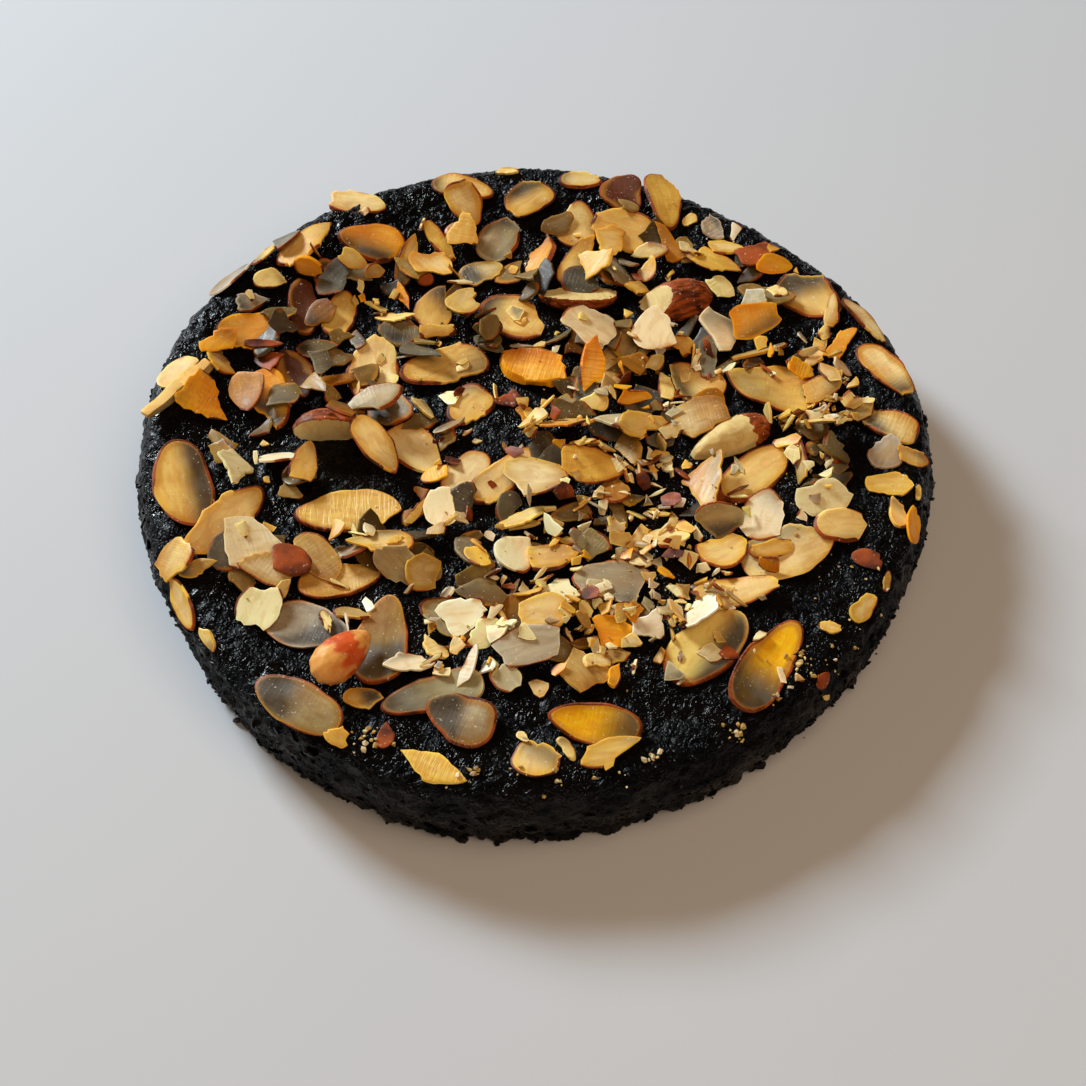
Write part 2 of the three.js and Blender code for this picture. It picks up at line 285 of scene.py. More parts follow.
# The flat underside, which the remesh cut into many squares, is made one face again.
bpy.ops.object.mode_set(mode="EDIT")
bpy.ops.mesh.select_all(action="DESELECT")
bpy.ops.object.mode_set(mode="OBJECT")
for face in crust.data.polygons:
    face.select = face.normal.z < -0.99 and face.center.z < 0.3 * MM
bpy.ops.object.mode_set(mode="EDIT")
bpy.ops.mesh.dissolve_faces()
bpy.ops.object.mode_set(mode="OBJECT")

places, normals = arrays_of(crust)
level = places[:, 2] / MM
top = rise(0.25, 0.75, normals[:, 2])
side = 1 - top
under = 1 - rise(-0.9, -0.6, normals[:, 2])
foot = (1 - rise(0.5, 6.0, level)) * side

warp = np.stack([noise_at(places, 3.2, k) for k in (3.0, 11.0, 23.0)], axis=1)
bent = places + warp * 1.2 * MM
crinkle = 1 - np.abs(noise_at(bent, CRINKLE[0], 1.0)) * 2
fine_crinkle = 1 - np.abs(noise_at(bent, FINE_CRINKLE[0], 5.0)) * 2
swell = noise_at(places, SWELL[0], 7.0)
top_relief = CRINKLE[1] * crinkle + FINE_CRINKLE[1] * fine_crinkle + SWELL[1] * swell
lump = lumps_at(bent, LUMP[0], 2.0)
small_lump = lumps_at(bent, SMALL_LUMP[0], 9.0)
layered = noise_at(bent * np.array((1, 1, 2.6)), LAYER[0], 13.0)
pit = np.clip(noise_at(bent, PIT[0], 19.0) - 0.25, 0, 1)
side_relief = LUMP[1] * lump + SMALL_LUMP[1] * small_lump + LAYER[1] * layered - PIT[1] * pit
bulge = np.clip(noise_at(places, FOOT_BULGE[0], 17.0) + 0.15, 0, 1)
foot_relief = FOOT_BULGE[1] * bulge + FOOT_LUMP_HEIGHT * small_lump
relief = top * top_relief + side * (side_relief - SIDE_SUNK) + foot * foot_relief
relief = relief * (1 - under)
places += normals * (relief * MM)[:, None]
places[:, 2] = np.maximum(places[:, 2], 0.0)
set_places(crust, places)
only(crust)
bpy.ops.object.shade_smooth()
on_side = (side > 0.5) & (under < 0.5) & (level < SIDE_TOP)
side_places, side_normals = places[on_side], normals[on_side]

crust_finish, start, shader = new_finish("crust_dark")
place = start.node("ShaderNodeTexCoord", output="Object")
patch = place.noise(110.0, detail=3.0)
wide = place.noise(360.0, detail=1.0, distortion=1.2) - 0.5
fine = place.noise(700.0, detail=1.0, distortion=0.8) - 0.5
creases = (wide * wide).rise(0.02, 0.0) + (fine * fine).rise(0.02, 0.0) * 0.3
grain = place.noise(1600.0, detail=3.0)
flecks = place.noise(700.0)
low_side = start.node("ShaderNodeSeparateXYZ", {0: place}, "Z").rise(22 * MM, 16 * MM)
dark = patch.rise(0.35, 0.65).mix((0.0012, 0.0012, 0.0015, 1), (0.0027, 0.0023, 0.0021, 1))
# Low on the side, browner in patches: the torn crumb's own colour, and a painted highlight on its
# ridges.
crumb_and_highlight = (low_side * patch.rise(0.42, 0.62)).mix(dark, (0.0085, 0.0052, 0.0032, 1))
flecked = (low_side * flecks.rise(0.68, 0.75)).mix(crumb_and_highlight, (0.062, 0.034, 0.016, 1))
feed(flecked, shader["Base Color"])
feed(0.09 + patch.rise(0.60, 0.44) * 0.26 + low_side * 0.35, shader["Roughness"])
feed((creases + grain * 0.18).bump(1.0, 0.36 * MM), shader["Normal"])
shader["Specular IOR Level"].default_value = 0.25
crust.data.materials.clear()
crust.data.materials.append(crust_finish)
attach(crust, "root")
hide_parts("cake_body")

# ------------------------------------------------------------------ the heap
# How high the cake and what lies on it reach, over a fine level grid. Each loose piece is laid on
# it as a stiff plate comes to rest, and the grid is then raised where the piece now covers it.

CELL = 0.35 * MM
HALF_GRID = 270  # cells from the middle of the grid to its edge
HEAP_REACH = 93 * MM
ABOVE_ALL = 80 * MM


def heights_of(pieces):
    """How high some pieces reach over each cell of the grid, or minus one where there is none."""
    places, faces = [], []
    for piece in pieces:
        count = len(places)
        places.extend(vertex.co.copy() for vertex in piece.data.vertices)
        faces.extend(tuple(i + count for i in face.vertices) for face in piece.data.polygons)
    tree = BVHTree.FromPolygons(places, faces)
    grid = np.full((2 * HALF_GRID, 2 * HALF_GRID), -1.0)
    down = Vector((0, 0, -1))
    for row in range(2 * HALF_GRID):
        for column in range(2 * HALF_GRID):
            x, y = (column - HALF_GRID) * CELL, (row - HALF_GRID) * CELL
            if x * x + y * y < HEAP_REACH ** 2:
                hit = tree.ray_cast(Vector((x, y, ABOVE_ALL)), down)[0]
                if hit:
                    grid[row, column] = hit.z
    return grid


def cells(x, y):
    row = np.clip(np.round(y / CELL).astype(int) + HALF_GRID, 0, 2 * HALF_GRID - 1)
    column = np.clip(np.round(x / CELL).astype(int) + HALF_GRID, 0, 2 * HALF_GRID - 1)
    return row, column


crust_top = heights_of([crust])


def near_crust(places):
    """1 where a place all but touches the crust, falling to 0 where it is 4 mm above it."""
    return rise(4.0, 0.6, (places[:, 2] - crust_top[cells(places[:, 0], places[:, 1])]) / MM)


# ------------------------------------------------------------------ sliced almonds
# Thin slices of whole almonds, cut lengthwise, of which many broke. Where the kernel's outside is
# left, the rim is toasted and keeps a line of red-brown skin; thin ones let the dark crust through,
# and many are darker to one side as painted shade.

# The tone of each kind of slice, and how thin it is: how far the dark crust shows through it.
TONES = {
    "white": (0.80, 0.70, 0.51),
    "pale": (0.79, 0.65, 0.40),
    "ivory": (0.77, 0.57, 0.235),
    "tan": (0.54, 0.35, 0.10),
    "golden": (0.72, 0.45, 0.105),
    "orange": (0.84, 0.38, 0.02),
    "grey": (0.50, 0.44, 0.33),
    "skin": (0.13, 0.036, 0.012),
}
THINNESS = {"white": 0.03, "pale": 0.03, "ivory": 0.1, "tan": 0.35,
            "golden": 0.13, "orange": 0.1, "grey": 0.6, "skin": 0.2}
# These shares also darken one side of a piece as painted shade, not only toasting.
TOAST_AND_SHADE = 0.34, 0.54, 0.78  # the share of red, green and blue that a toasted part loses
BRIGHTER, CONTRAST = 1.2, 1.15
ROUND = 6.28  # a full turn, for directions drawn at random
random = np.random.default_rng(8)


def plate(steps, shares):
    """The pattern of a plate in rings, at these shares of the way out to its rim: the share, the
    step round and the side (up or down) of each vertex, and the faces."""
    rings = [(share, 1) for share in shares] + [(share, -1) for share in reversed(shares)]
    faces = []
    for first in range(0, (len(rings) - 1) * steps, steps):
        for i in range(steps):
            j = (i + 1) % steps
            faces.append((first + i, first + steps + i, first + steps + j, first + j))
    middle = len(rings) * steps
    for i in range(steps):
        j = (i + 1) % steps
        faces.append((middle, i, j))
        faces.append((middle + 1, middle - steps + j, middle - steps + i))
    return {
        "share": np.append(np.repeat([share for share, up in rings], steps), [0.0, 0.0]),
        "up": np.append(np.repeat([up for share, up in rings], steps), [1, -1]),
        "step": np.append(np.tile(np.arange(steps), len(rings)), [0, 0]),
        "faces": faces,
        "steps": steps,
    }


class Pile:
    """Many small pieces joined in one mesh, with the values that their finish reads."""

    VALUES = ("rim", "skin", "veil", "ridge", "toast")

    def __init__(self):
        self.places = []
        self.faces = []
        self.tones = []
        self.locals = []
        self.values = {name: [] for name in self.VALUES}
        self.count = 0

    def add(self, places, faces, tone, local, **values):
        self.places.append(places)
        self.faces.extend(tuple(i + self.count for i in face) for face in faces)
        tones = np.broadcast_to(tone, (len(places), 3))
        self.tones.append(np.column_stack([tones, np.ones(len(places))]))
        self.locals.append(local)
        for name in self.VALUES:
            self.values[name].append(np.broadcast_to(values.get(name, 0.0), len(places)))
        self.count += len(places)

    def piece(self, name, finish, slot, *nodes):
        """Makes the piece: it rides on the cake and stands for these solids."""
        mesh = bpy.data.meshes.new(name)
        mesh.from_pydata(np.concatenate(self.places).tolist(), [], self.faces)
        tone = mesh.attributes.new("tone", "FLOAT_COLOR", "POINT")
        tone.data.foreach_set("color", np.concatenate(self.tones).astype(np.float32).ravel())
        cut = mesh.attributes.new("cut", "FLOAT_VECTOR", "POINT")
        cut.data.foreach_set("vector", np.concatenate(self.locals).astype(np.float32).ravel())
        for value, parts in self.values.items():
            layer = mesh.attributes.new(value, "FLOAT", "POINT")
            layer.data.foreach_set("value", np.concatenate(parts).astype(np.float32))
        mesh.materials.append(finish)
        made = bpy.data.objects.new(name, mesh)
        bpy.context.scene.collection.objects.link(made)
        only(made)
        bpy.ops.object.shade_smooth_by_angle(angle=math.radians(40))
        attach(made, "root")
        if nodes:
            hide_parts(*nodes)
        return made


def stepped(corners, own, steps):
    """Steps evenly round an outline, the nearest moved onto each sharp corner, and how far each is
    on the kernel's own rim. own tells this for the side that starts at each corner."""
    onward = np.roll(corners, -1, axis=0)
    sides = np.maximum(np.linalg.norm(onward - corners, axis=1), 1e-9)
    along = np.concatenate([[0], np.cumsum(sides)])
    at = np.arange(steps) * along[-1] / steps
    for i in np.nonzero((own < 0.5) | (np.roll(own, 1) < 0.5))[0]:
        at[np.argmin(np.abs(at - along[i]))] = along[i]
    side = np.clip(np.searchsorted(along, at, side="right") - 1, 0, len(corners) - 1)
    share = ((at - along[side]) / sides[side])[:, None]
    return corners[side] * (1 - share) + onward[side] * share, own[side]


def rounded(outline, own, times):
    """Evens an outline out where it is the kernel's own rim, and leaves its broken sides alone."""
    for _ in range(times):
        between = (np.roll(outline, 1, axis=0) + np.roll(outline, -1, axis=0)) / 2
        loose = (own > 0.5) & (np.roll(own, 1) > 0.5)
        outline = np.where(loose[:, None], (outline + between) / 2, outline)
    return outline


def torn(outline, own, rough):
    """Makes an outline a little uneven all round, and roughens its broken sides."""
    inward = outline.mean(axis=0) - outline
    reach = np.maximum(np.linalg.norm(inward, axis=1), 1e-9)
    around = np.arctan2(inward[:, 1], inward[:, 0])
    uneven = sum(share * np.sin(bulges * around + random.uniform(0, ROUND))
                 for bulges, share in ((2, 0.02), (3, 0.03), (5, 0.02), (8, 0.01)))
    fine = random.normal(0, 1, len(outline))
    coarse = np.roll(np.repeat(random.normal(0, 1, len(outline)), 3), 1)[:len(outline)]
    jag = (fine + 1.6 * coarse) * np.where(own > 0.5, 0.08, 1.0) * rough
    return outline + inward * (uneven + jag / reach)[:, None]


def slice_shape(disc, outline, own, thick, bow=0.0, twist=0.0, cup=0.0, slant=0.5):
    """Vertices of a slice in its own frame, their distance from its rim, and where they are on the
    kernel's own rim. slant is how far the top is cut back there, as a share of the thickness."""
    share, step = disc["share"], disc["step"]
    middle = outline.mean(axis=0)
    out = (outline - middle)[step]
    reach = np.maximum(np.linalg.norm(out, axis=1), 1e-9)
    whole = own[step]
    cut_back = np.where(disc["up"] > 0, slant * whole, 0.1) * thick * rise(0.5, 1, share)
    flat = middle + out * (share * np.maximum(1 - cut_back / reach, 0.3))[:, None]
    x, y = flat[:, 0], flat[:, 1]
    half_length, half_width = np.abs(out[:, 0]).max(), np.abs(out[:, 1]).max()
    z = disc["up"] * thick / 2 * np.where(share > 0.999, 0.72, 1.0)
    z = z + bow * (x / half_length) ** 2 + twist * x * y / (half_length * half_width)
    z = z + cup * (y / half_width) ** 2
    return np.stack([x, y, z], axis=1), (1 - share) * reach, whole


def skin_round(step, steps, amount):
    """How much skin is left round a rim: nothing in places, and whole in others."""
    angles = step * 2 * np.pi / steps
    phase = random.uniform(0, ROUND, 3)
    wave = np.sin(angles + phase[0]) + 0.6 * np.sin(2 * angles + phase[1])
    wave = wave + 0.3 * np.sin(4 * angles + phase[2])
    return rise(-0.9, 1.1, wave + 3 * (amount - 0.5))


def convex_outline(flat):
    """The corners of the smallest convex outline round flat points, in order."""
    points = sorted(map(tuple, flat))

    def half(run):
        out = []
        for p in run:
            while len(out) > 1:
                a, b = out[-2], out[-1]
                if (b[0] - a[0]) * (p[1] - a[1]) - (b[1] - a[1]) * (p[0] - a[0]) > 0:
                    break
                out.pop()
            out.append(p)
        return out[:-1]

    return np.array(half(points) + half(points[::-1]))


def snapped(corners, own, direction, share):
    """Breaks off what lies further in a direction than a share of an outline's reach there."""
    toward = np.array([math.cos(direction), math.sin(direction)])
    over = corners @ toward - share * (corners @ toward).max()
    kept, kept_own = [], []
    for i in range(len(corners)):
        j = (i + 1) % len(corners)
        if over[i] <= 0:
            kept.append(corners[i])
            kept_own.append(own[i])
        if (over[i] <= 0) != (over[j] <= 0):
            kept.append(corners[i] + (corners[j] - corners[i]) * over[i] / (over[i] - over[j]))
            kept_own.append(own[i] if over[i] > 0 else 0.0)
    return np.array(kept), np.array(kept_own)


def own_frame(places):
    """The middle of a thin solid and its own axes: along, across, and up through its thickness."""
    middle = places.mean(axis=0)
    axes = np.linalg.svd(places - middle, full_matrices=False)[2]
    along, up = axes[0], axes[2]
    if up[2] < 0:
        up = -up
    return middle, np.stack([along, np.cross(up, along), up])


def towards(shape, direction):
    """How far over in a direction each place of a piece is: -1 to 1 where it reaches furthest."""
    side = shape[:, 0] * math.cos(direction) + shape[:, 1] * math.sin(direction)
    return side / max(np.abs(side).max(), 1e-9)


def painted(shape, from_rim, tone_name, spread=0.16, shaded=1.0):
    """Tones over a piece: a little off the mean, paler in the middle, and darker and more golden
    to one side, which stands for toasting and for painted shade. shaded scales the whole piece's
    tone: painted shade where it is below 1, on the flakes that lie low."""
    tone = np.array(TONES[tone_name]) * (1 + random.uniform(-spread, spread * 0.8))
    tone = tone * (1, 1 + random.uniform(-0.03, 0.03), 1 + random.uniform(-0.25, 0.1))
    side = towards(shape, random.uniform(0, 2 * math.pi))
    bend = noise_at(shape + random.uniform(-0.1, 0.1, 3), 5)
    most = 0.35 if tone_name in ("white", "pale") else 1.1
    # Toasting and painted shade: one side darker and more golden.
    toasted_and_shaded = random.uniform(0.0, most) * rise(-0.7, 1.1, side + 0.7 * bend)[:, None]
    palest = {"orange": 0.2, "golden": 0.6, "skin": 0.0}.get(tone_name, 0.8)
    pale = random.uniform(0.0, palest) * rise(0.3, 3.0, from_rim / MM)[:, None]
    colours = tone * (1 - pale) + np.array(TONES["pale"]) * pale
    left = 1 - toasted_and_shaded * np.array(TOAST_AND_SHADE)
    return np.clip(colours * BRIGHTER * shaded * left, 0, 0.93) ** CONTRAST


def see_through(shape, thinness, near, from_rim, shaded_side=None):
    """How dark a slice is made where the dark crust shows through it: most where it lies close on
    it and away from the rim. Towards one side it is darker still: painted shade, and the crust
    showing through where the slice is thinner and wetted. Its last argument, when given, is
    (that direction, how dark)."""
    if shaded_side:
        direction, side_shade = shaded_side
        side = towards(shape, direction) + 0.15
        depth = 1.0
    else:
        direction = random.uniform(0, 2 * math.pi)
        side_shade = random.choice([-0.6, 0.6, 1.0], p=[0.5, 0.22, 0.28])
        side = towards(shape, direction) + random.uniform(-0.5, 0.3)
        depth = 0.6 + 0.4 * near
    veil = thinness * (0.55 + 0.45 * near) + max(side_shade, 0) * rise(-0.1, 0.75, side) * depth
    return np.clip(veil, 0, 1) * rise(0.0, 1.5, from_rim / MM + 0.35)


almond_finish, start, shader = new_finish("almond_slice")
tone = start.node("ShaderNodeAttribute", output="Color", attribute_name="tone")
cut = start.node("ShaderNodeAttribute", output="Vector", attribute_name="cut")
rim, skin, veil, ridge, toast = [
    start.node("ShaderNodeAttribute", output="Fac", attribute_name=name) for name in Pile.VALUES
]
place = start.node("ShaderNodeTexCoord", output="Object")
fibre = cut.stretched(180.0, 900.0, 600.0).noise()
ribs = cut.stretched(1500.0, 160.0, 600.0).noise().rise(0.4, 0.62)
streak = cut.stretched(200.0, 480.0, 300.0).noise(detail=3.0, distortion=0.8)
cloud = place.noise(170.0)
speck = place.noise(1500.0)
dust = place.noise(1600.0).rise(0.685, 0.72)

pale = (fibre.rise(0.3, 0.7) * 0.8).mix(tone, (0.70, 0.66, 0.58, 1), "OVERLAY")
mottled = (streak.rise(0.40, 0.58) * 0.7 + ribs * ridge * 0.5).mix(
    (streak.rise(0.52, 0.36) * 0.4).mix(tone, (0.80, 0.66, 0.44, 1), "MULTIPLY"), pale)
# Painted highlight: the thin broken edges of the pieces are made lighter, as light catching them.
edge_highlight = ((0.4 - rim).rise(0.0, 0.3) * (1.0 - skin).rise(0.2, 0.8) * 0.26).mix(mottled, tone, "ADD")
warm_rim = toast * (skin * 1.9 + 0.3 - rim - cloud).rise(-0.4, 1.2)
baked = warm_rim.mix(edge_highlight, (0.60, 0.27, 0.030, 1))
# shade is the dark that veil mixes in: the crust seen through a thin slice, and painted shade.
shade = cloud.rise(0.3, 0.7).mix((0.022, 0.017, 0.012, 1), (0.130, 0.113, 0.088, 1))
seen_through_and_shaded = (veil * (0.8 + cloud * 0.3)).mix(baked, shade)
browned = (skin * 0.8 - rim - cloud * 0.5).rise(-0.1, 0.4).mix(seen_through_and_shaded, (0.46, 0.15, 0.016, 1))
# Skin is darker and lighter in clouds, and lighter along the ribs where ridge is high; on the
# kernels that lighter skin is painted light, to look lit.
skin_colour = (cloud.rise(0.35, 0.65) * (1 - ridge * 0.5) + ridge * ribs * 0.8).mix(
    (0.07, 0.015, 0.005, 1), (0.40, 0.085, 0.015, 1))
skin_line = (skin * 0.62 - rim - cloud * 0.4).rise(-0.02, 0.10)
dusted = (dust * 0.6).mix(skin_line.mix(browned, skin_colour), (0.85, 0.80, 0.70, 1))
feed(dusted, shader["Base Color"])
feed(0.36 + fibre.rise(0.3, 0.7) * 0.16 + skin_line * 0.1, shader["Roughness"])
height = fibre * 0.5 + speck * 0.2 + ribs * ridge * 0.6
feed(height.bump(0.8, 0.14 * MM), shader["Normal"])
shader["Specular IOR Level"].default_value = 0.32
shader["Subsurface Weight"].default_value = 0.2
shader["Subsurface Radius"].default_value = (1.0, 0.6, 0.22)
shader["Subsurface Scale"].default_value = 1.0 * MM

slice_disc = plate(48, [0.17, 0.36, 0.56, 0.74, 0.87, 0.955, 1.0])
slots = {part["node"]: part["material_slot"] for part in frame["record"]["subparts"]}
TONE_OF_SLOT = {
    "almond_ivory": "ivory",
    "almond_golden": "golden",
    "almond_toasted": "orange",
    "almond_clear": "grey",
    "almond_skin": "skin",
}
RIDGED = ("almond_slice_34", "almond_slice_48", "almond_slice_54")
# Slices that are darker to one side, as painted shade and where they are wetted: the direction
# of that side, and how dark it is.
SHADED_SIDES = {
    "almond_slice_32": (1, 0.3, 1.0),
    "almond_slice_35": (0.3, -0.6, 0.6),
    "almond_slice_37": (0.2, -1, 0.8),
    "almond_slice_39": (-1, 0.3, 0.7),
    "almond_slice_40": (-0.5, -0.5, 0.3),
    "almond_slice_41": (-1, 0.2, 0.9),
    "almond_slice_58": (-0.6, -0.8, 1.0),
    "almond_slice_59": (0.8, -0.6, 0.9),
}
# Two whole slices, oiled and deep orange, that the light shines through: the glow is painted into
# their bright orange tone.
GLOWING = ("almond_slice_58", "almond_slice_59")
PAINTED_GLOW = (0.98, 0.50, 0.010)
OTHER_TONE = {"almond_slice_31": "golden", "almond_slice_37": "golden", "almond_slice_39": "tan"}
# Sides of an outline that are shorter than this, in mm, follow the kernel's rim; others are breaks.
RIM_SIDE, GLOWING_RIM_SIDE = 5.6, 12


def bent_terms(flat):
    """The terms of a surface that bends evenly along and across: 1, x, y, x2, xy and y2."""
    x, y = flat[:, 0], flat[:, 1]
    return np.stack([np.ones_like(x), x, y, x * x, x * y, y * y], axis=1)


slice_nodes = [
    name for name in sorted(frame["nodes"]) if name.startswith(("almond_slice", "almond_sliver"))
]
for slot, tone_name in TONE_OF_SLOT.items():
    pile = Pile()
    nodes = [name for name in slice_nodes if slots[name] == slot]
    for node in nodes:
        solid = copy_of(node, "solid")
        places = arrays_of(solid)[0]
        bpy.data.objects.remove(solid)
        middle, axes = own_frame(places)
        local = (places - middle) @ axes.T
        corners = convex_outline(local[:, :2])
        sides = np.linalg.norm(np.roll(corners, -1, axis=0) - corners, axis=1)
        own = (sides < (GLOWING_RIM_SIDE if node in GLOWING else RIM_SIDE) * MM).astype(float)
        for _ in range(0 if node in SHADED_SIDES else random.integers(0, 4)):
            direction, share = random.uniform(0, ROUND), random.uniform(0.80, 0.96)
            corners, own = snapped(corners, own, direction, share)
        outline, own = stepped(corners, own, slice_disc["steps"])
        outline = torn(rounded(outline, own, 8) * 1.02, own, 0.16 * MM)
        terms = bent_terms(local)
        surface = np.linalg.lstsq(terms, local[:, 2], rcond=None)[0]
        thick = (local[:, 2] - terms @ surface).max() * 1.35
        slant = random.uniform(-0.3, 0.6)
        shape, from_rim, whole = slice_shape(slice_disc, outline, own, thick, slant=slant)
        curl = noise_at(shape + middle, 7, 31.0) * 0.75 * MM
        shape[:, 2] += bent_terms(shape) @ surface + curl
        placed = middle + shape @ axes
        shaded_side = None
        if node in SHADED_SIDES:
            shade_x, shade_y, side_shade = SHADED_SIDES[node]
            toward = axes @ (shade_x, shade_y, 0)
            shaded_side = (math.atan2(toward[1], toward[0]), side_shade)
        tones = painted(shape, from_rim, OTHER_TONE.get(node, tone_name))
        grain_at = shape + random.uniform(-0.1, 0.1, 3)
        skin = whole * random.uniform(0.8, 1.5)
        # Painted glow: these two take a bright orange tone and let no crust through.
        if node in GLOWING:
            tones, skin_left, thinness = PAINTED_GLOW, 1.4, 0.0
        else:
            skin_left, thinness = random.uniform(0.5, 1.1), THINNESS[tone_name]
        pile.add(
            placed,
            slice_disc["faces"],
            tones,
            grain_at,
            rim=from_rim / MM,
            skin=skin * skin_round(slice_disc["step"], slice_disc["steps"], skin_left),
            veil=see_through(shape, thinness, near_crust(placed), from_rim, shaded_side),
            ridge=1.0 if node in RIDGED else random.uniform(0.0, 0.5),
            toast=whole * random.uniform(0.5, 1.0),
        )
    pile.piece(f"slices_{tone_name}", almond_finish, slot, *nodes)

# ------------------------------------------------------------------ thick kernel pieces
# Halves of whole almonds that were never sliced: a pale flat cut, and round the back of it the
# wrinkled red-brown skin. One has lost its skin but for a patch at its end, and one is toasted.

PEELED = "almond_kernel_52"
TOASTED = "almond_kernel_38"
# Painted light: the cut face of almond_kernel_30 gets a paler tone than the other kernels, so that
# it looks lit.
LIT_CUT_KERNEL = "almond_kernel_30"  # cut across, its cut the palest
LIT_CUT_TONE = (1.0, 0.80, 0.42)
TOASTED_TONE, BURNT_TONE = (0.88, 0.40, 0.10), (0.66, 0.10, 0.016)
KERNEL_VOXEL = 0.32 * MM
CUT_AREA = 18 * MM * MM  # flat faces of a kernel that are larger than this are cuts
WRINKLE_HEIGHT = 0.3 * MM
kernel_nodes = [name for name in sorted(frame["nodes"]) if name.startswith("almond_kernel")]
pile = Pile()
for node in kernel_nodes:
    solid = copy_of(node, "solid")
    flats = {}  # how large the flat face is that looks each way
    for face in solid.data.polygons:
        key = tuple(round(value, 2) for value in face.normal)
        flats[key] = flats.get(key, 0.0) + face.area
    cuts = [Vector(key).normalized() for key, area in flats.items() if area > CUT_AREA]
    apply_modifier(solid, "REMESH", mode="VOXEL", voxel_size=KERNEL_VOXEL)
    apply_modifier(solid, "SMOOTH", factor=0.5, iterations=5)
    places, normals = arrays_of(solid)
    faces = [tuple(face.vertices) for face in solid.data.polygons]
    bpy.data.objects.remove(solid)
    middle, axes = own_frame(places)
    local = (places - middle) @ axes.T
    flat = np.max([rise(0.90, 0.97, normals @ np.array(cut)) for cut in cuts], axis=0)
    wrinkle = 1 - 2 * np.abs(noise_at(local * (0.35, 1, 1), 1.5, 41.0))
    skin_left = 1 - flat
    if node == PEELED:
        eastward = local[:, 0] * np.sign(axes[0, 0]) / np.ptp(local[:, 0])
        skin_left = rise(0.15, 0.22, eastward + 0.06 * noise_at(local, 2, 43.0))
    tone = LIT_CUT_TONE if node == LIT_CUT_KERNEL else TONES["ivory"]
    if node == TOASTED:
        skin_left = np.zeros(len(places))
        streak = noise_at(local * (0.3, 1, 1), 1.6, 47.0)
        ends = np.abs(local[:, 0] / np.ptp(local[:, 0]) - 0.08)
        red = rise(0.28, 0.12, ends + 0.35 * streak)[:, None]
        tone = np.array(TOASTED_TONE) * (1 - red) + np.array(BURNT_TONE) * red
    peeled = node in (PEELED, TOASTED)
    wrinkled = 0.25 + 0.75 * skin_left if peeled else skin_left
    places += normals * (wrinkle * wrinkled * WRINKLE_HEIGHT)[:, None]
    pile.add(
        places,
        faces,
        tone,
        local[:, (1, 0, 2)],
        # Painted light: ridge lightens the kernel's skin along its ribs, to look lit.
        ridge=skin_left,
        rim=np.where(skin_left > 0.5, 0.0, 2.0),
        skin=skin_left,
        veil=0.05,
        toast=0.0 if peeled else 0.4,
    )
kernels = pile.piece("kernel_pieces", almond_finish, "almond_skin", *kernel_nodes)

slices = [piece for piece in bpy.data.objects if piece.name.startswith("slices_")]
heap = np.maximum(crust_top, heights_of([kernels] + slices))

STEEPEST = 0.8  # the steepest slope at which a flake still lies
FLAT = 0.0, 0.0


def resting_slopes(shape):
    """Slopes of the plane on which a plate with these vertices comes to rest: the one that is
    lowest at the plate's middle and clears all that is under it."""
    under = shape[shape[:, 2] < np.median(shape[:, 2])]
    top = heap[cells(under[:, 0], under[:, 1])]
    on = top > 0
    if on.sum() < 3:
        return FLAT
    x, y = under[on, 0], under[on, 1]
    middle = shape.mean(axis=0)
    need = top[on] - (under[on, 2] - middle[2])
    best, width = FLAT, STEEPEST
    for _ in range(4):
        near = np.linspace(-width, width, 9)
        a, b = np.meshgrid(near + best[0], near + best[1])
        a = np.clip(a.ravel(), -STEEPEST, STEEPEST)
        b = np.clip(b.ravel(), -STEEPEST, STEEPEST)
        height = need[:, None] - np.outer(x - middle[0], a) - np.outer(y - middle[1], b)
        height = height.max(axis=0)
        lowest = int(np.argmin(height + 1e-5 * (a * a + b * b)))
        best = (a[lowest], b[lowest])
        width /= 3
    return best


def turned(axis, angle):
    return np.array(Matrix.Rotation(angle, 3, axis))


def lay(shape, x, y, turn, lean, sunk):
    """Lays a shape on the heap at a place. lean stands it up about its length and its width."""
    shape = shape @ turned("Z", math.radians(turn)).T + (x, y, 0)
    middle = shape.mean(axis=0)
    along, across = resting_slopes(shape)
    up = Vector((-along, -across, 1)).normalized()
    tilt = np.array(Vector((0, 0, 1)).rotation_difference(up).to_matrix())
    if lean != FLAT:
        heading = turned("Z", math.radians(turn))
        stand = turned("X", math.radians(lean[0])) @ turned("Y", math.radians(lean[1]))
        tilt = tilt @ heading @ stand @ heading.T
    shape = (shape - middle) @ tilt.T + middle
    top = heap[cells(shape[:, 0], shape[:, 1])]
    on = top > 0
    lift = (top[on] - shape[on, 2]).max() if on.any() else 0.02
    shape[:, 2] += lift - sunk
    return shape


def cover(shape, faces):
    """Raises the heap where a laid piece covers it."""
    fans = np.array([
        (face[0], face[i], face[i + 1]) for face in faces for i in range(1, len(face) - 1)
    ])
    a, b, c = (shape[fans[:, i]] for i in range(3))
    longest = max(np.linalg.norm(b - a, axis=1).max(), np.linalg.norm(c - a, axis=1).max())
    steps = np.linspace(0, 1, int(np.ceil(longest / CELL)) + 1)
    s, t = (part.ravel()[:, None, None] for part in np.meshgrid(steps, steps))
    points = (a + (b - a) * s * (1 - t) + (c - a) * s * t).reshape(-1, 3)
    np.maximum.at(heap, cells(points[:, 0], points[:, 1]), points[:, 2])


# ------------------------------------------------------------------ smaller almond flakes
# Broken slices between 4 and 16 mm long. Those that can be told apart are placed one by one, in the
# order in which they lie on each other, and more lie between them where the heap is thick.


